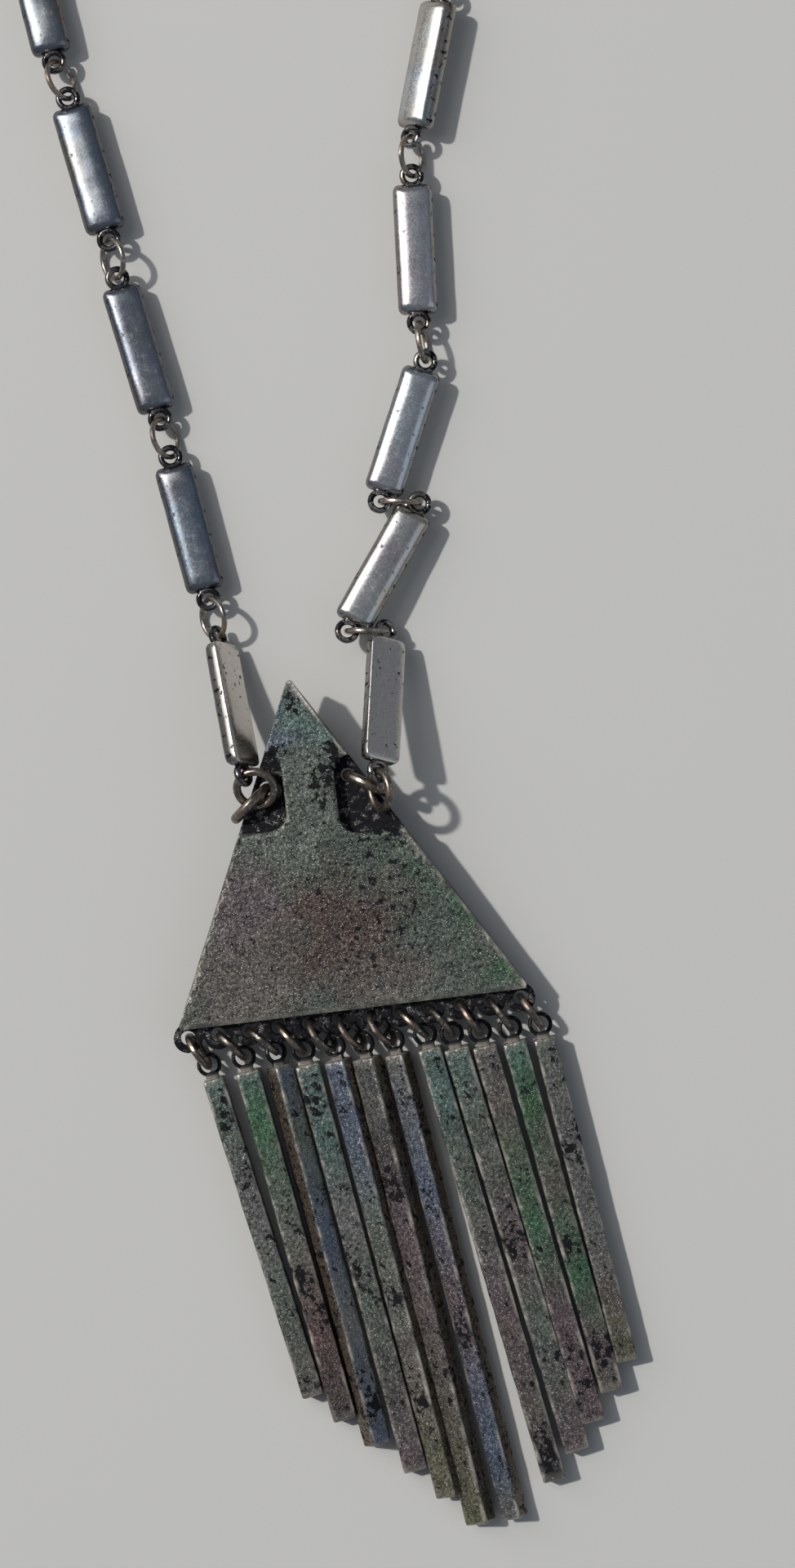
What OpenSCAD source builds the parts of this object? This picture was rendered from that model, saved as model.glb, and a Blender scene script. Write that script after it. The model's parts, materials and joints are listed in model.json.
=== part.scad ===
// Pendant necklace: a cast triangular plate with twelve hanging bars, on a chain of long cast links
// that are joined by wire rings, closed by a toggle clasp. It lies open on a flat surface, back of
// the plate upwards. The resting surface is z = 0, and +Y runs from the bars towards the clasp.

/* [Plate] */
// Width of the plate along its straight lower edge, over its rounded corners
plate_w = 50.4; // [46:0.2:54]
// Height from the lower edge to the tip
plate_h = 48; // [44:0.1:50]
// How far the tip stands to one side of the middle of the lower edge
tip_shift = -3.4; // [-6:0.2:6]
// Thickness of the plate
plate_t = 3.2; // [2.6:0.1:4]
// Radius of the plate's three corners
corner_r = 0.5; // [0.3:0.1:1.2]
// Thickness of the scalloped strip that carries the bars
strip_t = 1.2; // [1:0.1:1.6]
// Radius of the holes in that strip
strip_hole_r = 1.1; // [1.05:0.05:1.3]
// Radius of each scallop
scallop_r = 2.1; // [1.9:0.05:2.15]
// Thickness left under the two pockets
pocket_floor = 1.3; // [1:0.1:1.6]
// Radius of the hole through each pocket's floor
pocket_hole_r = 1; // [0.95:0.05:1.2]

/* [Bars] */
// Length of the outermost bars, without their eyes
short_bar = 48.2; // [40:0.2:52]
// How much longer each bar is than its outer neighbour
bar_step = 4.26; // [2:0.02:5]
// Width of a bar
bar_w = 3.05; // [2.6:0.05:3.1]
// Depth of a bar
bar_d = 2.7; // [2.2:0.1:2.8]

/* [Links] */
// Distance between the centres of a link's two eyes
link_pitch = 21.3; // [20:0.1:22]
// Width of a link's body
link_w = 5.6; // [5:0.1:5.8]
// Thickness of a link's body
link_t = 2.6; // [2.2:0.1:2.8]

/* [Rings] */
// Wire of the rings between the links
jump_wire = 0.8; // [0.7:0.05:0.85]
// Wire of the rings that carry the bars
bar_ring_wire = 1; // [0.8:0.05:1.05]
// Wire of the two rings between the corner rings and the first links
connector_wire = 1.2; // [1:0.05:1.25]
// Wire of the two thick rings in the plate's corners
corner_wire = 1.5; // [1.3:0.05:1.55]

/* [Clasp] */
// Radius of the toggle ring's opening
toggle_r = 5; // [4.5:0.1:5.5]
// Length of the toggle bar
toggle_l = 17; // [15:0.5:20]

/* [Hidden] */
$fn = 48;
LEFT = 0;
RIGHT = 1;

// The point of the layout that stands over the origin, so that the necklace is centred on it
centre = [-24.1, 44.3];

// Every placement is a point and a turn of [roll, rise, heading] in degrees: the roll about the
// piece's own length, the angle at which that length rises, and its heading counted from +X.

// The plate's lower edge: its middle, its turn in plan, and the slope that lifts the tip
plate_at = [-6, -33, 3.1];
plate_heading = 7;
plate_slope = 4;

// Each ring's radius is that of its wire's centre line
jump_r = 2.85;
bar_ring_r = 2.6;
connector_r = 2.7;
corner_ring_r = 3.1;
wire_flat = 0.03; // how deep the wire's inner and outer sides are worn flat

// Eyes: radius of the hole, outer radius, thickness and edge rounding
link_eye = [0.9, 1.8, 1.1, 0.4];
bar_eye = [1.2, 1.8, 0.9, 0.25];
eye_to_body = 1.3;
eye_to_bar = 2.1;
link_back = 1.2; // from the eyes' middle plane to the back of a link
link_corner = 1;
bar_corner = 0.6;
crown_inset = 0.7; // the crown of a link stands in from its rim
crown_h = 0.6;
bar_lift = 0.7; // a flat bar's eye is held up by its ring
edge_rest = 0.05; // a bar that is rolled onto its edge rests on the edge
edge_lift = 0.55;

// Beads in two rows near each bar's tip, on its front: radius, height, row and column spacing
bead_r = 0.6;
bar_rest = 0.35; // a flat bar's tip rests on its beads
bead_first = 1.4; // from the tip to the first pair
bead_pitch = [1.3, 1.4];
bead_rows = 3;
strip_z = 0.5; // from the plate's front to the strip
hole_y = -1.5; // the holes' line, below the lower edge
hole_end = 1; // from the ends of the lower edge to the first holes, along it
hole_pitch = (plate_w - 2 * hole_end) / 11;

// Pockets, in the plate's own frame
pocket_y = [26.9, 25.2];
pocket_h = 11.4;
pocket_r = 2.5;
pocket_inner = [-6, 1.4];
pocket_hole = [[-8.5, 33], [3.3, 33.5]];
corner_ring_heading = [225, -24];

// The connector rings' centres and turns
connector_at = [[-19.9, -1.5, 8.6], [-2.1, -1.6, 9.75]];
connector_turn = [[160, 16, 129], [120, 2.9, 96.4]];

// The chain, from the plate outwards: each link and the ring beyond it
link_turn = [
    [[-122, -17.1, 101.6], [0, 0, 105], [4, 0, 107], [-3, 0, 106], [0, 0, 104], [0, 0, 107],
     [0, 0, 110]],
    [[-147, -18.1, 87], [0, -3.2, 60.5], [0, 0, 72], [0, -0.7, 93], [-40, 0, 79], [0, 0, 75],
     [0, 0, 71]]
];
ring_turn = [
    [[126, -2, 104], [56, 0, 105], [124, 0, 103], [56, 0, 110], [124, 0, 104], [56, 0, 108],
     [124, 0, 112]],
    [[90, 12, 180], [90, 0, 177], [78, 0, 99], [58, 0, 90], [64, 0, 76], [124, 0, 73],
     [56, 0, 70]]
];

// Each bar's heading and roll, and those of the ring that carries it
bar_heading = [-72.5, -74.5, -75.5, -75.2, -75.5, -75.9, -75.7, -73.6, -72.9, -73.5, -74.5, -75.5];
bar_roll = [0, 0, -35, 0, 28, 31, 30, 0, 0, 0, 0, 0];
bar_ring_heading = [-54, -44, -40, -45, -43, -46, -46, -42, -50, -54, -54, -54];
bar_ring_roll = [96, 86, 84, 92, 109, 109, 109, 90, 86, 94, 88, 92];

// Clasp
clasp_drop = 7; // slope of the two clasp pieces towards the surface
toggle_wire = 2;
toggle_bar_r = 1;

function along(turn) = [cos(turn[1]) * cos(turn[2]), cos(turn[1]) * sin(turn[2]), sin(turn[1])];
function in_plan(p, a) = [p[0] * cos(a) - p[1] * sin(a), p[0] * sin(a) + p[1] * cos(a), p[2]];
function tilted(p, a) = [p[0], p[1] * cos(a) - p[2] * sin(a), p[1] * sin(a) + p[2] * cos(a)];
function on_plate(p) = plate_at + in_plan(tilted(p, plate_slope), plate_heading);

function corner_ring_at(side) =
    on_plate([pocket_hole[side][0], pocket_hole[side][1], pocket_floor / 2])
    + corner_ring_r * along([0, 0, corner_ring_heading[side]]);
function low_eye(side, i) = i == 0
    ? connector_at[side] + connector_r * along(connector_turn[side])
    : high_eye(side, i - 1) + 2 * jump_r * along(ring_turn[side][i - 1]);
function high_eye(side, i) = low_eye(side, i) + link_pitch * along(link_turn[side][i]);
function jump_at(side, i) = high_eye(side, i) + jump_r * along(ring_turn[side][i]);

function bar_l(i) = eye_to_bar + short_bar + bar_step * min(i, 11 - i);
function bar_half(i) = bar_w / 2 * abs(sin(bar_roll[i])) + bar_d / 2 * cos(bar_roll[i]);
function bar_foot(i) = bar_half(i) + (bar_roll[i] == 0 ? bar_rest : edge_rest);
function bar_eye_z(i) = bar_foot(i) + (bar_roll[i] == 0 ? bar_lift : edge_lift);
function hole_at(i) = on_plate([(i - 5.5) * hole_pitch, hole_y, strip_z + strip_t / 2]);
function bar_ring_turn(i) =
    let (drop = hole_at(i)[2] - bar_eye_z(i))
    [bar_ring_roll[i], -asin(drop / (2 * bar_ring_r)), bar_ring_heading[i]];
function bar_ring_at(i) = hole_at(i) + bar_ring_r * along(bar_ring_turn(i));
function bar_eye_at(i) = hole_at(i) + 2 * bar_ring_r * along(bar_ring_turn(i));
function bar_turn(i) =
    [bar_roll[i], -asin((bar_eye_z(i) - bar_foot(i)) / bar_l(i)), bar_heading[i]];

// Unit vector that points out of the edge from p to q, for corners listed anticlockwise
function outward(p, q) = let (d = q - p) [d[1], -d[0]] / norm(d);

// Puts a piece made along +X at a point of the layout
module place(at, turn) {
    translate([at[0] - centre[0], at[1] - centre[1], at[2]])
        rotate([turn[0], -turn[1], turn[2]])
            children();
}

module rounded_rect(w, h, r) {
    square([w - 2 * r, h], center = true);
    square([w, h - 2 * r], center = true);
    for (x = [-1, 1], y = [-1, 1])
        translate([x * (w / 2 - r), y * (h / 2 - r)]) circle(r = r);
}

// A wire ring about +Z. Its wire is worn flat inside and outside, so both are true cylinders.
module wire_ring(r, wire) {
    rotate_extrude($fn = 72)
        translate([r, 0])
            intersection() {
                circle(d = wire);
                square([wire - 2 * wire_flat, wire], center = true);
            }
}

// An eye about +Z, with rounded edges round a cylindrical hole
module eye(size) {
    rotate_extrude($fn = 72)
        translate([(size[0] + size[1]) / 2, 0])
            rounded_rect(size[1] - size[0], size[2], size[3]);
}

module plate_outline() {
    side_reach = corner_r - 0.01; // so that the sides cross the corners' circles
    centres = [
        [-plate_w / 2 + corner_r, corner_r],
        [plate_w / 2 - corner_r, corner_r],
        [tip_shift, plate_h - corner_r]
    ];
    polygon([
        for (i = [0:2])
            let (p = centres[i], q = centres[(i + 1) % 3], o = side_reach * outward(p, q))
            each [p + o, q + o]
    ]);
    for (c = centres)
        translate(c) circle(r = corner_r);
}

// One pocket, open to the plate's slanted edge, drawn on the side that x = 1 or -1 names
module pocket_outline(side, x) {
    reach = plate_w / 2;
    translate([pocket_inner[side], pocket_y[side]])
        scale([x, 1]) {
            translate([pocket_r, 0]) square([reach, pocket_h]);
            translate([0, pocket_r]) square([reach, pocket_h - 2 * pocket_r]);
            for (y = [pocket_r, pocket_h - pocket_r])
                translate([pocket_r, y]) circle(r = pocket_r);
        }
}

module strip() {
    translate([0, 0, strip_z])
        linear_extrude(strip_t) {
            for (i = [0:11])
                translate([(i - 5.5) * hole_pitch, hole_y]) circle(r = scallop_r);
            translate([-5.5 * hole_pitch, hole_y - 0.4])
                square([11 * hole_pitch, 1.2 - hole_y]);
        }
}

module pendant_plate() {
    color("slategray")
        place(plate_at, [plate_slope, 0, plate_heading])
            difference() {
                union() {
                    linear_extrude(plate_t) plate_outline();
                    strip();
                }
                translate([0, 0, pocket_floor])
                    linear_extrude(plate_t) {
                        pocket_outline(LEFT, -1);
                        pocket_outline(RIGHT, 1);
                    }
                for (hole = pocket_hole)
                    translate([hole[0], hole[1], -1]) cylinder(r = pocket_hole_r, h = plate_t);
                for (i = [0:11])
                    translate([(i - 5.5) * hole_pitch, hole_y, 0])
                        cylinder(r = strip_hole_r, h = plate_t);
            }
}

module corner_ring(side) {
    color("dimgray")
        place(corner_ring_at(side), [90, 0, corner_ring_heading[side]])
            wire_ring(corner_ring_r, corner_wire);
}

module connector_ring(side) {
    color("rosybrown")
        place(connector_at[side], connector_turn[side])
            wire_ring(connector_r, connector_wire);
}

module bar_ring(i) {
    color("dimgray")
        place(bar_ring_at(i), bar_ring_turn(i))
            wire_ring(bar_ring_r, bar_ring_wire);
}

// A bar hangs by its eye and lies back upwards
module bar(i) {
    neck_l = eye_to_bar - bar_eye[0] - 0.1;
    color("darkslategray")
        place(bar_eye_at(i), bar_turn(i)) {
            eye(bar_eye);
            translate([bar_eye[0] + 0.1, -bar_eye[1] + 0.2, -bar_eye[2] / 2])
                cube([neck_l + 0.5, 2 * bar_eye[1] - 0.4, bar_eye[2]]);
            translate([(eye_to_bar + bar_l(i)) / 2, 0, -bar_d / 2])
                linear_extrude(bar_d)
                    rounded_rect(bar_l(i) - eye_to_bar, bar_w, bar_corner);
            for (row = [0:bead_rows - 1], y = [-0.5, 0.5])
                translate([
                    bar_l(i) - bead_first - row * bead_pitch[0],
                    y * bead_pitch[1],
                    bead_r - bar_rest - bar_d / 2
                ])
                    sphere(r = bead_r);
        }
}

// A link: a rim, a crown that stands in from it, and an eye at each end
module link(side, i) {
    body_l = link_pitch - 2 * eye_to_body;
    color("lightsteelblue")
        place(low_eye(side, i), link_turn[side][i]) {
            eye(link_eye);
            translate([link_pitch, 0, 0]) eye(link_eye);
            translate([link_pitch / 2, 0, -link_back]) {
                linear_extrude(link_t - crown_h)
                    rounded_rect(body_l, link_w, link_corner);
                linear_extrude(link_t)
                    rounded_rect(body_l - 2 * crown_inset, link_w - 2 * crown_inset, link_corner);
            }
        }
}

module link_ring(side, i) {
    color("peru")
        place(jump_at(side, i), ring_turn[side][i])
            wire_ring(jump_r, jump_wire);
}

// The ring half of the clasp: a large ring with a small eye on its rim
module toggle_ring() {
    outer_r = toggle_r + toggle_wire;
    color("silver")
        place(low_eye(LEFT, 7), [0, -clasp_drop, link_turn[LEFT][6][2]]) {
            eye(link_eye);
            translate([outer_r + eye_to_body, 0, 0])
                eye([toggle_r, outer_r, toggle_wire, 0.6]);
        }
}

// The bar half of the clasp: a round bar with a small eye at its middle
module toggle_bar() {
    color("silver")
        place(low_eye(RIGHT, 7), [0, -clasp_drop, link_turn[RIGHT][6][2]]) {
            eye(link_eye);
            translate([toggle_bar_r + eye_to_body, 0, 0])
                rotate([90, 0, 0]) {
                    cylinder(r = toggle_bar_r, h = toggle_l - 2 * toggle_bar_r, center = true);
                    for (z = [-1, 1])
                        translate([0, 0, z * (toggle_l / 2 - toggle_bar_r)])
                            sphere(r = toggle_bar_r);
                }
        }
}

pendant_plate();
corner_ring(LEFT);  // left_corner_ring
corner_ring(RIGHT);  // right_corner_ring
connector_ring(LEFT);  // left_connector_ring
connector_ring(RIGHT);  // right_connector_ring
for (i = [0:11]) {
    bar_ring(i);
    bar(i);
}
for (i = [0:6]) {
    link(LEFT, i);
    link_ring(LEFT, i);
    link(RIGHT, i);
    link_ring(RIGHT, i);
}
toggle_ring();
toggle_bar();
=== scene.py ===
import bmesh
import bpy
import json
import math
import numpy as np
from mathutils import Matrix, Vector, noise


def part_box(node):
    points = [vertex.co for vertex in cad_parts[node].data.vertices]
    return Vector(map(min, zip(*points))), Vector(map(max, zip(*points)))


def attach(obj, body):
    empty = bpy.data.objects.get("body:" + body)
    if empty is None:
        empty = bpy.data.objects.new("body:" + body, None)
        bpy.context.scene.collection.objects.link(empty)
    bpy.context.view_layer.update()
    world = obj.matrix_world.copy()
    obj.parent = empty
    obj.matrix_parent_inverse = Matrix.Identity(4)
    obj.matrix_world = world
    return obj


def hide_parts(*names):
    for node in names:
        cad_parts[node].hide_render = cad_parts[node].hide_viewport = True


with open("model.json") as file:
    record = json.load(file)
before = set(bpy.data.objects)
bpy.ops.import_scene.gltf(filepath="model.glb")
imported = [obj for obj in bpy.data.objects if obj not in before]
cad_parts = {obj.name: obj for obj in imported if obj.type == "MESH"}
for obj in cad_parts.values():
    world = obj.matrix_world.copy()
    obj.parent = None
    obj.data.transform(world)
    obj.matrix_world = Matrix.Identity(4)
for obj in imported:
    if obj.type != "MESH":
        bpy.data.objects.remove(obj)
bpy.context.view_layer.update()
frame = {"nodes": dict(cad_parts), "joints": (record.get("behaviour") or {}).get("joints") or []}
nodes = frame["nodes"]
joints = {joint["name"]: joint for joint in frame["joints"]}
mm = 0.001
barCount = 12
linkCount = 7
samePlace = 1e-7  # points this close are one
meshSeam = 2e-6  # points of the frame's own meshes this close are one
nearlySquare = 0.1  # cosine of ways that count as square to each other
eyeSteps = (10, 30)  # around an eye's wall and around its hole
reliefShift = (7.3, 3.1, 5.7)  # moves the noise on from one seed to the next
patchShift = (5.1, 2.3, 9.7)
print("frame loaded:", len(nodes), "nodes")


# where each piece lies, read from its joints and its flat sides

def cadPoints(node):
    mesh = nodes[node].data
    points = np.zeros(len(mesh.vertices) * 3)
    mesh.vertices.foreach_get("co", points)
    return points.reshape(-1, 3)


def flatSides(node):
    mesh = nodes[node].data
    count = len(mesh.polygons)
    normals = np.zeros(count * 3)
    areas = np.zeros(count)
    mesh.polygons.foreach_get("normal", normals)
    mesh.polygons.foreach_get("area", areas)
    ways, which = np.unique(np.round(normals.reshape(-1, 3), 2), axis=0, return_inverse=True)
    total = np.bincount(which.ravel(), weights=areas)
    order = np.argsort(-total)
    return [Vector(ways[i]).normalized() for i in order]  # biggest first


def lieOf(origin, along, up):
    across = up.cross(along).normalized()
    up = along.cross(across).normalized()
    lie = Matrix((along, across, up)).transposed().to_4x4()
    return Matrix.Translation(origin) @ lie


def upOf(node, anchor, tallSide):
    # across the biggest flat side; the piece reaches further from its anchor on the tall side
    up = flatSides(node)[0]
    heights = (cadPoints(node) - np.array(anchor)) @ np.array(up)
    if (heights.max() + heights.min()) * tallSide < 0:
        up.negate()
    return up


def longPieceLie(node, anchor, up, sign):
    # along the piece, from its anchor eye, or towards it where sign is -1
    side = next(way for way in flatSides(node) if abs(way.dot(up)) < nearlySquare)
    along = side.cross(up)
    middle = Vector(cadPoints(node).mean(axis=0))
    if (middle - anchor).dot(along) * sign < 0:
        along.negate()
    return lieOf(anchor, along, up)


def localPoints(points, lie):
    turn = np.array(lie.to_3x3())
    return (points - np.array(lie.translation)) @ turn


# making and marking shapes

def joined(parts):
    whole = bmesh.new()
    for part in parts:
        mesh = bpy.data.meshes.new("part")
        part.to_mesh(mesh)
        whole.from_mesh(mesh)
        part.free()
        bpy.data.meshes.remove(mesh)
    return whole


def finished(bm, name, lie, node, material):
    bmesh.ops.recalc_face_normals(bm, faces=bm.faces)
    mesh = bpy.data.meshes.new(name)
    bm.to_mesh(mesh)
    bm.free()
    mesh.transform(lie)
    mesh.materials.append(material)
    mesh.polygons.foreach_set("use_smooth", [True] * len(mesh.polygons))
    piece = bpy.data.objects.new(name, mesh)
    bpy.context.scene.collection.objects.link(piece)
    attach(piece, node)
    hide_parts(node)
    return piece


def block(size, centre, bevel, segments=3):
    bm = bmesh.new()
    bmesh.ops.create_cube(bm, size=1)
    bmesh.ops.scale(bm, vec=size, verts=bm.verts)
    bmesh.ops.translate(bm, vec=centre, verts=bm.verts)
    bmesh.ops.bevel(bm, geom=bm.edges, offset=bevel, affect="EDGES", segments=segments,
                    profile=0.5, material=-1)
    return bm


def sliced(bm, axis, places):
    way = Vector((axis == 0, axis == 1, axis == 2))
    for place in places:
        geometry = bm.verts[:] + bm.edges[:] + bm.faces[:]
        bmesh.ops.bisect_plane(bm, geom=geometry, dist=samePlace, plane_co=way * place,
                               plane_no=way)


def eyeLoop(size, x):
    # a small cast loop about the local z axis
    outer, hole = size["outer"], size["hole"]
    wall, turns = eyeSteps
    bm = bmesh.new()
    bmesh.ops.create_circle(bm, segments=wall, radius=1)
    bmesh.ops.scale(bm, vec=((outer - hole) / 2, size["thick"] / 2, 1), verts=bm.verts)
    bmesh.ops.rotate(bm, matrix=Matrix.Rotation(math.pi / 2, 3, "X"), verts=bm.verts)
    bmesh.ops.translate(bm, vec=((outer + hole) / 2, 0, 0), verts=bm.verts)
    bmesh.ops.spin(bm, geom=bm.verts[:] + bm.edges[:], axis=(0, 0, 1), angle=2 * math.pi,
                   steps=turns, use_merge=True)
    bmesh.ops.remove_doubles(bm, verts=bm.verts, dist=samePlace)
    bmesh.ops.translate(bm, vec=(x, 0, 0), verts=bm.verts)
    return bm


def roughened(bm, height, scale, seed, lowest=-1.0):
    # uneven casting: points beyond lowest along local y move a little along their normals
    bm.normal_update()
    shift = Vector([seed * step for step in reliefShift])
    for v in (v for v in bm.verts if v.co.y > lowest):
        v.co += v.normal * height * noise.noise(v.co * scale + shift)


def marked(piece, lie, tint, wear, blackening):
    # the piece's own places in millimetres, and its colour, worn and blackened parts
    mesh = piece.data
    points = np.zeros(len(mesh.vertices) * 3)
    mesh.vertices.foreach_get("co", points)
    place = localPoints(points.reshape(-1, 3), lie) / mm
    mesh.attributes.new("place", "FLOAT_VECTOR", "POINT").data.foreach_set(
        "vector", place.astype(np.float32).ravel())
    colours = np.ones((len(place), 4), np.float32)
    colours[:, :3] = tint(place)
    mesh.attributes.new("tint", "FLOAT_COLOR", "POINT").data.foreach_set("color", colours.ravel())
    for name, values in (("wear", wear(place)), ("blackening", blackening(place))):
        values = np.clip(values, 0, 1).astype(np.float32)
        mesh.attributes.new(name, "FLOAT", "POINT").data.foreach_set("value", values)


def smoothStep(low, high, values):
    t = np.clip((values - low) / (high - low), 0, 1)
    return t * t * (3 - 2 * t)


def patchy(place, scale, seed):
    shift = Vector([seed * step for step in patchShift])
    return np.array([noise.noise(Vector(p) * scale + shift) for p in place])


# base colours of the tarnish, and of the metal where it is worn or pitted

tints = {
    "teal": (0.066, 0.105, 0.094),
    "green": (0.035, 0.092, 0.045),
    "greyGreen": (0.082, 0.096, 0.078),
    "moss": (0.045, 0.066, 0.05),
    "olive": (0.085, 0.085, 0.048),
    "blue": (0.062, 0.078, 0.112),
    "purple": (0.085, 0.062, 0.066),
    "red": (0.092, 0.054, 0.05),
    "taupe": (0.088, 0.076, 0.066),
    "umber": (0.056, 0.036, 0.028),
    "grey": (0.10, 0.10, 0.094),
    "dark": (0.042, 0.039, 0.037),
    "bare": (0.14, 0.105, 0.07),
    "black": (0.009, 0.009, 0.011),
    "silver": (0.75, 0.75, 0.74),
    "pale": (0.50, 0.46, 0.40),
}


def newMaterial(name):
    material = bpy.data.materials.new(name)
    material.use_nodes = True
    material.node_tree.nodes.clear()
    return material


def addNode(tree, kind, sockets=None, **settings):
    node = tree.nodes.new(kind)
    for name, value in settings.items():
        setattr(node, name, value)
    for name, value in (sockets or {}).items():
        if isinstance(value, bpy.types.NodeSocket):
            tree.links.new(value, node.inputs[name])
        else:
            node.inputs[name].default_value = value
    return node


def ranged(tree, value, low, high, toLow=0.0, toHigh=1.0):
    node = addNode(tree, "ShaderNodeMapRange", {
        "Value": value, "From Min": low, "From Max": high, "To Min": toLow, "To Max": toHigh},
        interpolation_type="SMOOTHSTEP")
    return node.outputs["Result"]


def combined(tree, operation, first, second):
    return addNode(tree, "ShaderNodeMath", {0: first, 1: second}, operation=operation).outputs[0]


def mixed(tree, amount, first, second, how="MIX"):
    node = addNode(tree, "ShaderNodeMix", {"Factor": amount, 6: first, 7: second},
                   data_type="RGBA", blend_type=how)
    return node.outputs[2]


def rgba(colour):
    return (*colour, 1.0)


def attribute(tree, name, output="Fac"):
    return addNode(tree, "ShaderNodeAttribute", attribute_name=name).outputs[output]


def speckle(tree, vector, scale, detail=3.0, roughness=0.6):
    return addNode(tree, "ShaderNodeTexNoise", {
        "Vector": vector, "Scale": scale, "Detail": detail, "Roughness": roughness}
    ).outputs["Fac"]


def surface(tree, colour, roughness, metal, normal, specular=0.5):
    shader = addNode(tree, "ShaderNodeBsdfPrincipled", {
        "Base Color": colour, "Roughness": roughness, "Metallic": metal, "Normal": normal,
        "Specular IOR Level": specular})
    addNode(tree, "ShaderNodeOutputMaterial", {"Surface": shader.outputs[0]})


# cast metal under tarnish, on pieces that carry their own places and marks
castFinish = {
    "plateCasting": {"grain": 1.9, "pebble": 1.3, "relief": 0.11, "metal": 0.45, "contrast": 0.45,
                     "rough": (0.30, 0.52), "worn": tints["pale"], "paintedSparkle": 0.9,
                     "specks": (0.62, 0.68)},
    "barCasting": {"grain": 1.9, "pebble": 1.2, "relief": 0.06, "metal": 0.6, "contrast": 0.32,
                   "rough": (0.24, 0.44), "worn": tints["pale"], "paintedSparkle": 0.8,
                   "specks": (0.72, 0.77)},
    "linkCasting": {"grain": 3.4, "pebble": 1.6, "relief": 0.006, "metal": 1.0, "contrast": 0.08,
                    "rough": (0.20, 0.28), "worn": tints["silver"], "paintedSparkle": 0.05,
                    "specks": (0.8, 0.9)},
    "claspCasting": {"grain": 3.4, "pebble": 1.6, "relief": 0.02, "metal": 1.0, "contrast": 0.16,
                     "rough": (0.25, 0.36), "worn": tints["silver"], "paintedSparkle": 0.12,
                     "specks": (0.8, 0.9)},
}

# what all cast finishes share; the scales are for places in millimetres
castPattern = {
    "broad": 0.45,
    "rust": 0.9,
    "speck": 1.15,
    "gritFiner": 3.1,  # grit against grain
    "lift": 1.1,  # how far light grains rise, against how far dark ones fall
    "speckDepth": 0.85,
    "pitRough": 0.12,
    "pitMetal": 0.7,
    "shine": (0.5, 0.06),  # clean and pitted
    "pebbleHeight": -0.7,
    "gritHeight": 0.35,
}


def castMetal(name):
    look = castFinish[name]
    material = newMaterial(name)
    tree = material.node_tree
    place = attribute(tree, "place", "Vector")
    tint = attribute(tree, "tint", "Color")
    wear = attribute(tree, "wear")
    blackening = attribute(tree, "blackening")
    fine = speckle(tree, place, look["grain"])
    broad = speckle(tree, place, castPattern["broad"], 2.0)
    grit = speckle(tree, place, look["grain"] * castPattern["gritFiner"], 2.0)
    rust = speckle(tree, place, castPattern["rust"], 4.0, 0.7)
    speck = speckle(tree, place, castPattern["speck"], 4.0, 0.65)
    pebbles = addNode(tree, "ShaderNodeTexVoronoi", {"Vector": place, "Scale": look["pebble"]},
                      feature="SMOOTH_F1").outputs["Distance"]

    # light and dark grains, painted glints, pits, then the worn parts on top
    dim, lift = 1 - look["contrast"], 1 + look["contrast"] * castPattern["lift"]
    darker = mixed(tree, 1.0, tint, rgba((dim, dim, dim)), "MULTIPLY")
    lighter = mixed(tree, 1.0, tint, rgba((lift, lift, lift)), "MULTIPLY")
    colour = mixed(tree, ranged(tree, fine, 0.34, 0.66), darker, lighter)
    # painted highlights: a few grains are mixed towards silver as glints
    paintedGlint = combined(tree, "MULTIPLY", ranged(tree, grit, 0.60, 0.70), look["paintedSparkle"])
    colour = mixed(tree, paintedGlint, colour, rgba(tints["silver"]))
    specks = ranged(tree, speck, *look["specks"], 0.0, castPattern["speckDepth"])
    pitted = combined(tree, "ADD", blackening, ranged(tree, rust, 0.34, 0.66, -0.5, 0.5))
    pitted = combined(tree, "MAXIMUM", ranged(tree, pitted, 0.40, 0.52), specks)
    colour = mixed(tree, pitted, colour, rgba(tints["black"]))
    worn = combined(tree, "MULTIPLY", wear, ranged(tree, broad, 0.30, 0.62, 0.25, 1.0))
    colour = mixed(tree, worn, colour, rgba(look["worn"]))

    # pits are rougher, less metallic and duller
    low, high = look["rough"]
    roughness = combined(tree, "ADD", ranged(tree, fine, 0.3, 0.7, low, high),
                         combined(tree, "MULTIPLY", pitted, castPattern["pitRough"]))
    lost = combined(tree, "MULTIPLY", pitted, castPattern["pitMetal"])
    metal = combined(tree, "MULTIPLY", look["metal"], combined(tree, "SUBTRACT", 1.0, lost))
    shine = ranged(tree, pitted, 0.0, 1.0, *castPattern["shine"])

    dents = combined(tree, "MULTIPLY", pebbles, castPattern["pebbleHeight"])
    grains = combined(tree, "MULTIPLY", grit, castPattern["gritHeight"])
    height = combined(tree, "ADD", combined(tree, "ADD", fine, dents), grains)
    bump = addNode(tree, "ShaderNodeBump", {
        "Height": height, "Strength": 1.0, "Distance": look["relief"] * mm})
    surface(tree, colour, roughness, metal, bump.outputs[0], shine)
    return material


# drawn wire, on rings that stay as they are in the frame
wireFinish = {
    # bright is the colour of the painted highlight flecks
    "darkWire": {"base": (0.13, 0.115, 0.10), "tarnish": (0.20, 0.15, 0.115),
                 "bright": (0.42, 0.38, 0.33), "rough": (0.22, 0.40)},
    "warmWire": {"base": (0.22, 0.20, 0.18), "tarnish": (0.30, 0.235, 0.18),
                 "bright": (0.50, 0.46, 0.41), "rough": (0.20, 0.36)},
}

# what both wires share; the scales are for places in metres
wirePattern = {"blotch": 420, "fine": 2200, "metal": 0.92, "strength": 0.6, "relief": 0.03 * mm}


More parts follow.
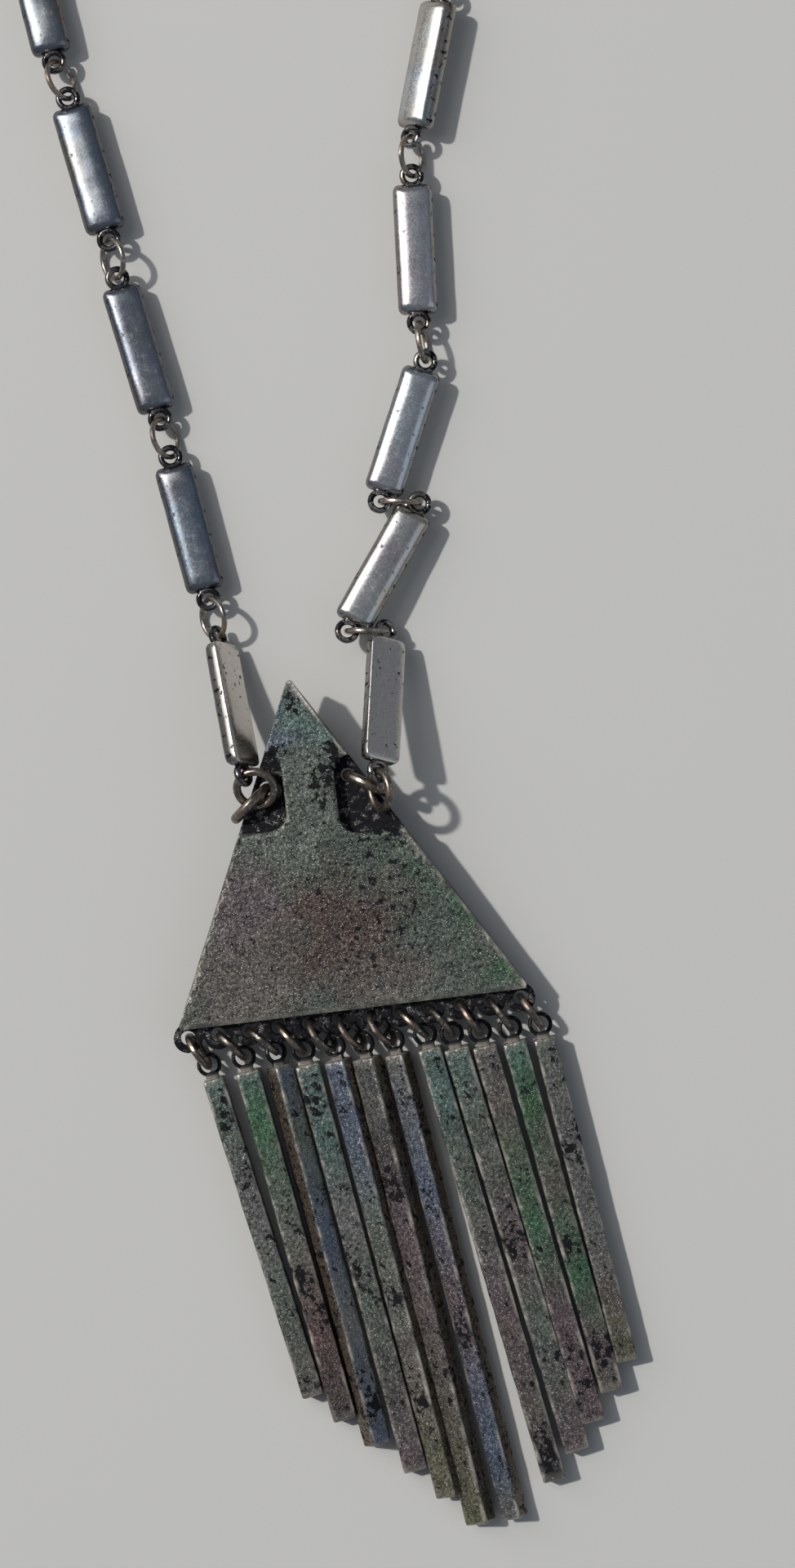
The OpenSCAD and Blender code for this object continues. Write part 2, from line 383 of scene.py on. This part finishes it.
def wireMetal(name):
    look = wireFinish[name]
    material = newMaterial(name)
    tree = material.node_tree
    here = addNode(tree, "ShaderNodeTexCoord").outputs["Object"]
    blotch = speckle(tree, here, wirePattern["blotch"], 3.0)
    fine = speckle(tree, here, wirePattern["fine"], 2.0)
    colour = mixed(tree, ranged(tree, blotch, 0.45, 0.62), rgba(look["base"]),
                   rgba(look["tarnish"]))
    # painted highlights: fine flecks of the bright colour stand in for the wire's sheen
    colour = mixed(tree, ranged(tree, fine, 0.56, 0.70), colour, rgba(look["bright"]))
    low, high = look["rough"]
    roughness = ranged(tree, blotch, 0.3, 0.7, low, high)
    bump = addNode(tree, "ShaderNodeBump", {
        "Height": fine, "Strength": wirePattern["strength"], "Distance": wirePattern["relief"]})
    surface(tree, colour, roughness, wirePattern["metal"], bump.outputs[0])
    return material


casts = {name: castMetal(name) for name in castFinish}
wires = {name: wireMetal(name) for name in wireFinish}
print("finishes made")


# rings keep the frame's own shapes

def wearMaterial(node, material):
    nodes[node].data.materials.clear()
    nodes[node].data.materials.append(material)
    mesh = nodes[node].data
    mesh.polygons.foreach_set("use_smooth", [True] * len(mesh.polygons))


for side in ("left", "right"):
    wearMaterial(f"{side}_corner_ring", wires["darkWire"])
    wearMaterial(f"{side}_connector_ring", wires["darkWire"])
    for i in range(1, linkCount + 1):
        wearMaterial(f"{side}_link_ring_{i}", wires["warmWire"])
for i in range(1, barCount + 1):
    wearMaterial(f"bar_ring_{i}", wires["darkWire"])
print("rings finished")


# links: domed bars with an eye at each end

linkLook = {
    "eye": {"hole": 0.9 * mm, "outer": 1.8 * mm, "thick": 1.1 * mm},
    "bodyStart": 1.3 * mm,  # from an eye's centre to the body
    "corner": 1.0 * mm,
    "rim": 0.25 * mm,  # height of the rim above the eyes' middle plane
    "edge": 0.22 * mm,
    "sharp": 0.9,  # angle in radians from which an edge of the back is bevelled
    "dome": {"ends": 14, "sides": 3.2, "round": 0.62},
    "steps": (30, 14),
    "level": 1e-6,  # heights this close to the back's are level with it
    "slices": (np.arange(-8, 8.1, 1.6) * mm, np.array((-1.4, 0, 1.4)) * mm),
    "relief": 0.05 * mm,
    "reliefScale": 330,
    # painted light and shade: the left chain's links get a darker, bluer copy of the same tint as
    # painted shade, the right chain's a brighter copy as painted light
    "paintedChainLight": {"left": (0.50, (0.88, 1.0, 1.16)), "right": (1.12, (1, 1, 1))},
}

linkHues = {
    "plain": [(0.46, 0.47, 0.49), (0.47, 0.46, 0.45), (0.43, 0.46, 0.49), (0.47, 0.455, 0.475)],
    # gold, rose and sea are painted reflections: patches of them stand in for the surroundings
    # mirrored in the metal
    "gold": (0.46, 0.40, 0.31),
    "rose": (0.43, 0.36, 0.39),
    "sea": (0.32, 0.40, 0.41),
    "rim": (0.05, 0.0375, 0.025),
    "back": (0.60, 0.56, 0.52),
}


def linkBody(length, width, back, crown):
    bm = bmesh.new()
    across, wide = linkLook["steps"]
    bmesh.ops.create_grid(bm, x_segments=across, y_segments=wide, size=1)
    halfX, halfY, corner = length / 2, width / 2, linkLook["corner"]
    rim, dome = linkLook["rim"], linkLook["dome"]
    for v in bm.verts:
        u, w = v.co.x, v.co.y
        rise = (1 - abs(u) ** dome["ends"]) ** 0.5 * (1 - abs(w) ** dome["sides"]) ** dome["round"]
        x, y = u * halfX, w * halfY
        overX, overY = abs(x) - (halfX - corner), abs(y) - (halfY - corner)
        reach = math.hypot(max(overX, 0), max(overY, 0))
        if overX > 0 and overY > 0 and reach > corner:
            x = math.copysign(halfX - corner + overX * corner / reach, x)
            y = math.copysign(halfY - corner + overY * corner / reach, y)
        v.co = (x, y, rim + (crown - rim) * rise)
    outline = [e for e in bm.edges if e.is_boundary]
    wall = bmesh.ops.extrude_edge_only(bm, edges=outline)["geom"]
    for v in (g for g in wall if isinstance(g, bmesh.types.BMVert)):
        v.co.z = back
    bmesh.ops.holes_fill(bm, edges=[e for e in bm.edges if e.is_boundary], sides=0)
    bmesh.ops.recalc_face_normals(bm, faces=bm.faces)
    sharp = [e for e in bm.edges
             if len(e.link_faces) == 2 and e.calc_face_angle() > linkLook["sharp"]
             and all(abs(v.co.z - back) < linkLook["level"] for v in e.verts)]
    bmesh.ops.bevel(bm, geom=sharp, offset=linkLook["edge"], affect="EDGES", segments=2,
                    profile=0.5, material=-1)
    for axis, places in enumerate(linkLook["slices"]):
        sliced(bm, axis, places)
    return bm


def linkTint(seed, length, width, paintedLightLevel=1.0, paintedLightCast=(1, 1, 1)):
    halfBody = length / 2 - linkLook["bodyStart"] / mm
    plain = linkHues["plain"][seed % 4]

    def tint(place):
        slow = patchy(place, 0.13, seed)
        quick = patchy(place, 0.5, seed + 30)
        # the level and cast are painted light: one chain's tint is darkened and made bluer as
        # painted shade, the other's is brightened as painted light
        out = np.tile(np.array(plain) * paintedLightLevel * np.array(paintedLightCast), (len(place), 1))
        # painted reflections: gold, rose and sea patches over the plain tint
        for hue, field, low in (("gold", slow, 0.12), ("rose", -slow, 0.18), ("sea", quick, 0.22)):
            amount = 0.55 * smoothStep(low, low + 0.3, field)[:, None]
            out = out * (1 - amount) + np.array(linkHues[hue]) * paintedLightLevel * amount
        out *= 1 + 0.18 * quick[:, None]
        # darker rims, and a paler flat back
        sides = smoothStep(0.66, 0.98, np.abs(place[:, 1]) / (width / 2))
        ends = smoothStep(0.86, 0.99, np.abs(place[:, 0] - length / 2) / halfBody)
        edge = np.maximum(sides, ends)[:, None] * smoothStep(1.3, 0.9, place[:, 2])[:, None]
        out = out * (1 - 0.62 * edge) + np.array(linkHues["rim"]) * edge
        flat = smoothStep(-0.9, -1.15, place[:, 2])[:, None]
        return out * (1 - flat) + np.array(linkHues["back"]) * flat
    return tint


def linkSoot(length, width):
    halfBody = length / 2 - linkLook["bodyStart"] / mm

    def blackening(place):
        inX = (place[:, 0] - length / 2) / halfBody
        inY = place[:, 1] / (width / 2)
        rim = smoothStep(0.9, 0.99, np.maximum(np.abs(inX) ** 1.5, np.abs(inY)))
        front = smoothStep(-0.9, 0.2, place[:, 2]) * smoothStep(1.0, 0.5, place[:, 2])
        eyes = smoothStep(1.02, 1.06, np.abs(inX))
        return 0.2 * rim * front + 0.26 * eyes
    return blackening


def linkWear(place):
    # the crown is rubbed a little
    return 0.25 * smoothStep(1.2, 1.4, place[:, 2])


def makeLink(side, i):
    node = f"{side}_link_{i}"
    upperEye = Vector(joints[f"{side}_link_ring_{i}_swing"]["pos_m"])
    lie = longPieceLie(node, upperEye, upOf(node, upperEye, 1), -1)
    local = localPoints(cadPoints(node), lie)
    pitch = -(local[:, 0].min() + linkLook["eye"]["outer"])
    lie = lie @ Matrix.Translation((-pitch, 0, 0))  # now from the lower eye
    local = localPoints(cadPoints(node), lie)
    width = 2 * np.abs(local[:, 1]).max()
    back, crown = local[:, 2].min(), local[:, 2].max()
    shape = linkBody(pitch - 2 * linkLook["bodyStart"], width, back, crown)
    bmesh.ops.translate(shape, vec=(pitch / 2, 0, 0), verts=shape.verts)
    reliefSeed = i + (linkCount if side == "right" else 0)
    roughened(shape, linkLook["relief"], linkLook["reliefScale"], reliefSeed)
    bm = joined([shape, eyeLoop(linkLook["eye"], 0), eyeLoop(linkLook["eye"], pitch)])
    piece = finished(bm, f"{side}Link{i}", lie, node, casts["linkCasting"])
    seed = i + (3 if side == "right" else 0)
    # each chain gets its own painted light level and cast on the same tint
    paintedLightLevel, paintedLightCast = linkLook["paintedChainLight"][side]
    marked(piece, lie, linkTint(seed, pitch / mm, width / mm, paintedLightLevel, paintedLightCast), linkWear,
           linkSoot(pitch / mm, width / mm))


for side in ("left", "right"):
    for i in range(1, linkCount + 1):
        makeLink(side, i)
print("links made")


# bars: cast rods with an eye at the upper end and beads near the tip

barLook = {
    "eye": {"hole": 1.2 * mm, "outer": 1.8 * mm, "thick": 0.9 * mm},
    "shoulder": 2.1 * mm,  # from the eye's centre to the bar's shoulder
    "edge": 0.32 * mm,
    "tip": 0.8 * mm,  # the stretch that the width and depth are read from
    "slice": 1.3 * mm,  # along the bar, up to the last stretch
    "lastSlice": 0.5 * mm,
    "slicesAcross": (-0.3, 0, 0.3),  # parts of the width
    "slicesUp": (-0.28, 0.28),  # parts of the depth
    "relief": 0.07 * mm,
    "reliefScale": 420,
    "neck": {"size": (1.3 * mm, 1.9 * mm, 0.855 * mm), "above": 0.35 * mm, "edge": 0.15 * mm},
    "bead": {"radius": 0.6 * mm, "rise": 0.35 * mm, "rows": 3, "fromTip": 1.4 * mm,
             "apart": 1.3 * mm, "aside": 0.7 * mm},
}

# colours along each bar from eye to tip, and where its pits gather
barTints = [
    [("teal", 0.0), ("greyGreen", 0.22), ("grey", 0.45), ("greyGreen", 0.7), ("taupe", 1.0)],
    [("teal", 0.0), ("green", 0.2), ("greyGreen", 0.4), ("taupe", 0.6), ("red", 0.75),
     ("dark", 1.0)],
    [("blue", 0.0), ("greyGreen", 0.2), ("blue", 0.45), ("grey", 0.7), ("blue", 1.0)],
    [("teal", 0.0), ("teal", 0.2), ("grey", 0.4), ("greyGreen", 0.6), ("purple", 1.0)],
    [("blue", 0.0), ("blue", 0.2), ("greyGreen", 0.4), ("taupe", 0.7), ("olive", 1.0)],
    [("grey", 0.0), ("dark", 0.2), ("purple", 0.4), ("taupe", 0.7), ("olive", 1.0)],
    [("grey", 0.0), ("blue", 0.3), ("purple", 0.55), ("blue", 0.75), ("blue", 0.9),
     ("grey", 1.0)],
    [("teal", 0.0), ("teal", 0.15), ("greyGreen", 0.3), ("purple", 0.6), ("taupe", 0.85),
     ("dark", 1.0)],
    [("teal", 0.0), ("greyGreen", 0.25), ("purple", 0.5), ("greyGreen", 0.7), ("purple", 1.0)],
    [("grey", 0.0), ("taupe", 0.2), ("green", 0.48), ("purple", 0.7), ("purple", 1.0)],
    [("teal", 0.0), ("green", 0.2), ("taupe", 0.4), ("green", 0.68), ("purple", 0.85),
     ("taupe", 1.0)],
    [("greyGreen", 0.0), ("grey", 0.3), ("grey", 0.6), ("taupe", 0.8), ("olive", 1.0)],
]
barPits = [(0.16, 0.33), (0.62, 0.72), (0.9,), (0.12, 0.55), (0.55, 0.8), (0.3,), (0.6,),
           (0.93, 0.97), (0.5,), (0.92,), (0.6, 0.9), (0.35,)]


def barTint(i, length, depth):
    stops = barTints[i]
    at = np.array([stop[1] for stop in stops])
    hues = np.array([tints[stop[0]] for stop in stops])

    def tint(place):
        t = np.clip(place[:, 0] / length + 0.06 * patchy(place, 0.16, i), 0, 1)
        out = np.stack([np.interp(t, at, hues[:, k]) for k in range(3)], axis=1)
        out *= 1 + 0.35 * patchy(place, 0.35, i + 40)[:, None]
        side = smoothStep(0.42, 0.30, place[:, 2] / depth)[:, None]
        bare = np.array(tints["bare"]) * 0.6
        out = out * (1 - side) + bare * side
        neck = smoothStep(2.6, 1.8, place[:, 0])[:, None]
        return out * (1 - neck) + np.array(tints["dark"]) * 0.5 * neck
    return tint


def barWear(i, length, width, depth):
    shoulder = barLook["shoulder"] / mm

    def wear(place):
        front = place[:, 2] > 0
        edge = np.abs(place[:, 1]) / (width / 2) + np.abs(place[:, 2]) / (depth / 2)
        broken = smoothStep(-0.15, 0.35, patchy(place, 0.5, i + 80))
        along = smoothStep(1.74, 1.86, edge) * broken * front
        end = smoothStep(0.5, 0.1, np.minimum(np.abs(place[:, 0] - shoulder),
                                              np.abs(length - place[:, 0]))) * front
        body = smoothStep(shoulder - 0.2, shoulder, place[:, 0])
        return body * np.maximum(along * 0.6, end * 0.55)
    return wear


def barSoot(i, length, depth):
    def blackening(place):
        t = place[:, 0] / length
        pits = sum(np.exp(-((t - p) / 0.05) ** 2) for p in barPits[i])
        pits = np.clip(pits * (0.75 + 0.9 * patchy(place, 0.5, i + 60)), 0, 1)
        back = smoothStep(0.35, 0.48, place[:, 2] / depth)
        sides = 0.15 * (1 - back)
        eye = 0.5 * smoothStep(2.4, 1.6, place[:, 0])
        scattered = 0.45 * patchy(place, 0.22, i + 90)
        return np.clip(np.maximum(0.75 * pits, scattered) * back + sides + eye, 0, 1)
    return blackening


def barBeads(length, depth):
    look = barLook["bead"]
    beads = []
    for row in range(look["rows"]):
        for y in (-look["aside"], look["aside"]):
            bead = bmesh.new()
            bmesh.ops.create_icosphere(bead, subdivisions=2, radius=look["radius"])
            centre = (length - look["fromTip"] - row * look["apart"], y,
                      look["radius"] - look["rise"] - depth / 2)
            bmesh.ops.translate(bead, vec=centre, verts=bead.verts)
            beads.append(bead)
    return beads


def makeBar(i):
    node = f"bar_{i + 1}"
    eyeCentre = Vector(joints[f"{node}_swing"]["pos_m"])
    lie = longPieceLie(node, eyeCentre, upOf(node, eyeCentre, -1), 1)  # the beads are in front
    local = localPoints(cadPoints(node), lie)
    length = local[:, 0].max()
    tip = local[local[:, 0] > length - barLook["tip"]]
    width, depth = 2 * np.abs(tip[:, 1]).max(), 2 * np.abs(tip[:, 2]).max()
    shoulder, step = barLook["shoulder"], barLook["slice"]
    rodLength = length - shoulder
    rod = block((rodLength, width, depth), (shoulder + rodLength / 2, 0, 0), barLook["edge"])
    sliced(rod, 0, np.arange(shoulder + step, length - barLook["lastSlice"], step))
    sliced(rod, 1, [part * width for part in barLook["slicesAcross"]])
    sliced(rod, 2, [part * depth for part in barLook["slicesUp"]])
    roughened(rod, barLook["relief"], barLook["reliefScale"], i)
    neckLook = barLook["neck"]
    neck = block(neckLook["size"], (shoulder - neckLook["above"], 0, 0), neckLook["edge"], 2)
    bm = joined([rod, neck, eyeLoop(barLook["eye"], 0)] + barBeads(length, depth))
    piece = finished(bm, f"bar{i + 1}", lie, node, casts["barCasting"])
    marked(piece, lie, barTint(i, length / mm, depth / mm),
           barWear(i, length / mm, width / mm, depth / mm), barSoot(i, length / mm, depth / mm))


for i in range(barCount):
    makeBar(i)
print("bars made")


# plate: the frame's own shape with softened edges and a rough back

plateLook = {
    "holesToEdge": 1.5 * mm,  # up from the line of holes to the lower edge
    "edge": 0.2 * mm,
    "crispAngle": 1.0,  # edges sharper and longer than these are bevelled
    "crispLength": 4 * mm,
    "grid": 0.9 * mm,
    "relief": 0.06 * mm,
    "reliefScale": 300,
    "reliefSeed": 5,
    "reliefFrom": 0.6 * mm,  # the strip with the holes stays smooth, clear of the rings
    "leftWay": (0.912, 0.410),  # square to the slanted sides
    "rightWay": (0.858, 0.514),
    "roundedOff": (0.28, 0.38),  # what the rounded corners take off the lower edge, in mm
    "sprinkled": (5, 16),  # the middle of the finely blackened part
    # colour patches on the back: tint, place along the lower edge and up from it, reach, strength
    "patches": [
        ("taupe", -16, 5, 13, 0.9), ("umber", 0, 12, 15, 1.0), ("purple", -13, 16, 9, 0.8),
        ("taupe", 6, 3, 9, 0.8), ("greyGreen", -8, 26, 9, 0.8), ("moss", 4.5, 23, 8, 0.8),
        ("moss", 14, 13, 8, 0.8), ("green", 16, 12, 4.5, 0.8), ("green", 21, 3.5, 5, 0.8),
        ("green", 11, 18, 3.5, 0.6), ("teal", -3, 41, 10, 1.0), ("greyGreen", -3, 33, 5, 0.7),
        ("green", 0, 40, 2.5, 0.5), ("blue", -7, 39, 3.2, 0.9), ("blue", -4, 43.5, 1.6, 0.6),
    ],
    "blacks": [(-2.4, 44, 2.2), (2.2, 37.4, 3.4), (0.2, 33.5, 3.6), (-0.8, 30.4, 2.6),
               (8.4, 25.4, 3.2), (6.0, 26.2, 2.4), (-6.6, 38.3, 1.7)],
}
holeLine = [Vector(joints[f"bar_ring_{i}_turn"]["pos_m"]) for i in (1, barCount)]
plateAlong = (holeLine[1] - holeLine[0]).normalized()
plateUp = upOf("pendant_plate", holeLine[0], 1)
plateLie = lieOf((holeLine[0] + holeLine[1]) / 2, plateAlong, plateUp)
plateLocal = localPoints(cadPoints("pendant_plate"), plateLie)
plateFoot = (0, plateLook["holesToEdge"], plateLocal[:, 2].min())
plateLie = plateLie @ Matrix.Translation(plateFoot)
plateLocal = localPoints(cadPoints("pendant_plate"), plateLie)
plateThick = plateLocal[:, 2].max()
plateTop = plateThick / mm

bm = bmesh.new()
bm.from_mesh(nodes["pendant_plate"].data)
bmesh.ops.transform(bm, matrix=plateLie.inverted(), verts=bm.verts)
bmesh.ops.remove_doubles(bm, verts=bm.verts, dist=meshSeam)
bmesh.ops.dissolve_limit(bm, angle_limit=math.radians(1), verts=bm.verts, edges=bm.edges)
crisp = [e for e in bm.edges
         if len(e.link_faces) == 2 and e.calc_face_angle() > plateLook["crispAngle"]
         and e.calc_length() > plateLook["crispLength"]]
bmesh.ops.bevel(bm, geom=crisp, offset=plateLook["edge"], affect="EDGES", segments=2,
                profile=0.5, material=-1)
bmesh.ops.triangulate(bm, faces=bm.faces)
lowest, highest = plateLocal.min(axis=0), plateLocal.max(axis=0)
for axis in (0, 1):
    sliced(bm, axis, np.arange(lowest[axis] + plateLook["grid"], highest[axis], plateLook["grid"]))
roughened(bm, plateLook["relief"], plateLook["reliefScale"], plateLook["reliefSeed"],
          plateLook["reliefFrom"])
plate = finished(bm, "pendantPlate", plateLie, "pendant_plate",
                 casts["plateCasting"])

# where the slanted sides would meet the lower edge, in mm
backFace = plateLocal[plateLocal[:, 2] > 0.9 * plateThick] / mm
plateCorners = (backFace[:, 0].min() - plateLook["roundedOff"][0],
                backFace[:, 0].max() + plateLook["roundedOff"][1])


def drifted(place, scale, seeds, reach):
    # places moved a little, so that patches around them aren't round
    drift = np.stack([patchy(place, scale, seed) for seed in seeds], axis=1)
    return place[:, :2] + drift * reach


def plateTint(place):
    at = drifted(place, 0.16, (1, 2), 5)
    out = np.tile(np.array(tints["greyGreen"]) * 0.8, (len(place), 1))
    for hue, x, y, reach, strength in plateLook["patches"]:
        far = np.hypot(at[:, 0] - x, at[:, 1] - y)
        amount = strength * smoothStep(reach, reach * 0.25, far)[:, None]
        out = out * (1 - amount) + np.array(tints[hue]) * amount
    out *= 0.86 + 0.5 * patchy(place, 0.5, 12)[:, None]
    under = smoothStep(plateTop - 0.5, plateTop - 1.2, place[:, 2])[:, None]
    return out * (1 - under) + np.array(tints["dark"]) * under


def plateWear(place):
    # bright where the upper rim is rubbed: the right side, the lower edge, faintly the left side
    leftEnd, rightEnd = plateCorners
    leftWay, rightWay = plateLook["leftWay"], plateLook["rightWay"]
    left = (place[:, 0] - leftEnd) * leftWay[0] - place[:, 1] * leftWay[1]
    right = (rightEnd - place[:, 0]) * rightWay[0] - place[:, 1] * rightWay[1]
    outer = smoothStep(0.55, 0.1, np.abs(right))
    lower = 0.7 * smoothStep(0.4, 0.05, np.abs(place[:, 1]))
    faint = 0.35 * smoothStep(0.35, 0.05, np.abs(left))
    broken = smoothStep(-0.3, 0.2, patchy(place, 0.4, 33))
    rim = np.maximum(np.maximum(outer, lower), faint) * (0.35 + 0.5 * broken)
    return rim * smoothStep(plateTop - 1.2, plateTop - 0.1, place[:, 2])


def plateSoot(place):
    at = drifted(place, 0.3, (21, 22), 2.5)
    out = np.zeros(len(place))
    for x, y, reach in plateLook["blacks"]:
        far = np.hypot(at[:, 0] - x, at[:, 1] - y)
        out = np.maximum(out, 0.62 * smoothStep(reach, reach * 0.3, far))
    low = smoothStep(plateTop - 0.6, plateTop - 1.4, place[:, 2])
    x, y = plateLook["sprinkled"]
    middle = np.hypot(place[:, 0] - x, place[:, 1] - y)
    sprinkled = 0.11 * smoothStep(15, 5, middle) * (1 + patchy(place, 0.35, 23))
    return np.clip(np.maximum(np.maximum(out, 0.72 * low), sprinkled), 0, 1)


marked(plate, plateLie, plateTint, plateWear, plateSoot)
print("plate made")


# clasp: the frame's own shapes, cut finer and roughened

claspLook = {
    "cuts": 2,
    "longest": 0.7 * mm,  # an edge longer than this is cut in two
    "relief": 0.03 * mm,
    "reliefScale": 400,
    "reliefSeed": 3,
    "tintSeed": 2,
    "tintSize": (10, 5.6),
}


def claspWear(place):
    return 0.3 * smoothStep(0.4, 0.9, place[:, 2])


# painted shade: blackening towards the underside of the lying clasp stands in for the shade under
# it
def claspPaintedShade(place):
    return 0.35 * smoothStep(0.2, -0.8, place[:, 2])


for node, name in (("toggle_ring", "toggleRing"), ("toggle_bar", "toggleBar")):
    bm = bmesh.new()
    bm.from_mesh(nodes[node].data)
    bmesh.ops.remove_doubles(bm, verts=bm.verts, dist=meshSeam)
    for _ in range(claspLook["cuts"]):
        longEdges = [e for e in bm.edges if e.calc_length() > claspLook["longest"]]
        bmesh.ops.subdivide_edges(bm, edges=longEdges, cuts=1)
        bmesh.ops.triangulate(bm, faces=bm.faces)
    roughened(bm, claspLook["relief"], claspLook["reliefScale"], claspLook["reliefSeed"])
    lie = Matrix.Translation((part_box(node)[0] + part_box(node)[1]) / 2)
    bmesh.ops.transform(bm, matrix=lie.inverted(), verts=bm.verts)
    piece = finished(bm, name, lie, node, casts["claspCasting"])
    marked(piece, lie, linkTint(claspLook["tintSeed"], *claspLook["tintSize"]), claspWear,
           claspPaintedShade)
print("clasp made")


# surface, light and camera

stageLook = {
    "floorSize": 1.6,
    "floorTint": (0.42, 0.42, 0.41),
    "viewCentre": (24.5 * mm, -45.1 * mm),
    "viewHeight": 228.6 * mm,
    "cameraHeight": 0.46,
    "skyTint": (0.56, 0.62, 0.72),
    "skyStrength": 0.32,
}

# each lamp stands at its place from the middle of the view, and points there
lamps = {
    "key": {"kind": "SUN", "place": (-0.62, 0.26, 0.78), "energy": 3.1,
            "colour": (1.0, 0.97, 0.93), "extent": {"angle": math.radians(2.5)}},
    "softbox": {"kind": "AREA", "place": (-0.55, 0.30, 0.55), "energy": 3.0,
                "colour": (1.0, 0.98, 0.96),
                "extent": {"shape": "RECTANGLE", "size": 0.5, "size_y": 0.9}},
    "fill": {"kind": "AREA", "place": (0.6, -0.2, 0.5), "energy": 0.6,
             "colour": (0.86, 0.92, 1.0),
             "extent": {"shape": "RECTANGLE", "size": 0.7, "size_y": 0.7}},
}

floorMesh = bpy.data.meshes.new("floor")
bm = bmesh.new()
bmesh.ops.create_grid(bm, x_segments=1, y_segments=1, size=stageLook["floorSize"])
bm.to_mesh(floorMesh)
bm.free()
floor = bpy.data.objects.new("floor", floorMesh)
bpy.context.scene.collection.objects.link(floor)
floorMaterial = newMaterial("paleFloor")
floorShader = addNode(floorMaterial.node_tree, "ShaderNodeBsdfPrincipled", {
    "Base Color": rgba(stageLook["floorTint"]), "Roughness": 0.9, "Specular IOR Level": 0.1})
addNode(floorMaterial.node_tree, "ShaderNodeOutputMaterial", {"Surface": floorShader.outputs[0]})
floorMesh.materials.append(floorMaterial)

centre = Vector((*stageLook["viewCentre"], 0))
for name, look in lamps.items():
    light = bpy.data.lights.new(name, look["kind"])
    light.energy = look["energy"]
    light.color = look["colour"]
    for key, value in look["extent"].items():
        setattr(light, key, value)
    lamp = bpy.data.objects.new(name, light)
    lamp.location = centre + Vector(look["place"])
    lamp.rotation_euler = (centre - lamp.location).to_track_quat("-Z", "Y").to_euler()
    bpy.context.scene.collection.objects.link(lamp)

world = bpy.data.worlds.new("studio")
world.use_nodes = True
sky = world.node_tree.nodes["Background"]
sky.inputs["Color"].default_value = rgba(stageLook["skyTint"])
sky.inputs["Strength"].default_value = stageLook["skyStrength"]
bpy.context.scene.world = world
bpy.context.scene.view_settings.view_transform = "Standard"

camera = bpy.data.cameras.new("camera")
camera.sensor_fit = "VERTICAL"
camera.angle = 2 * math.atan(stageLook["viewHeight"] / 2 / stageLook["cameraHeight"])
cameraObject = bpy.data.objects.new("camera", camera)
cameraObject.location = centre + Vector((0, 0, stageLook["cameraHeight"]))
bpy.context.scene.collection.objects.link(cameraObject)
bpy.context.scene.camera = cameraObject

print("stage set")
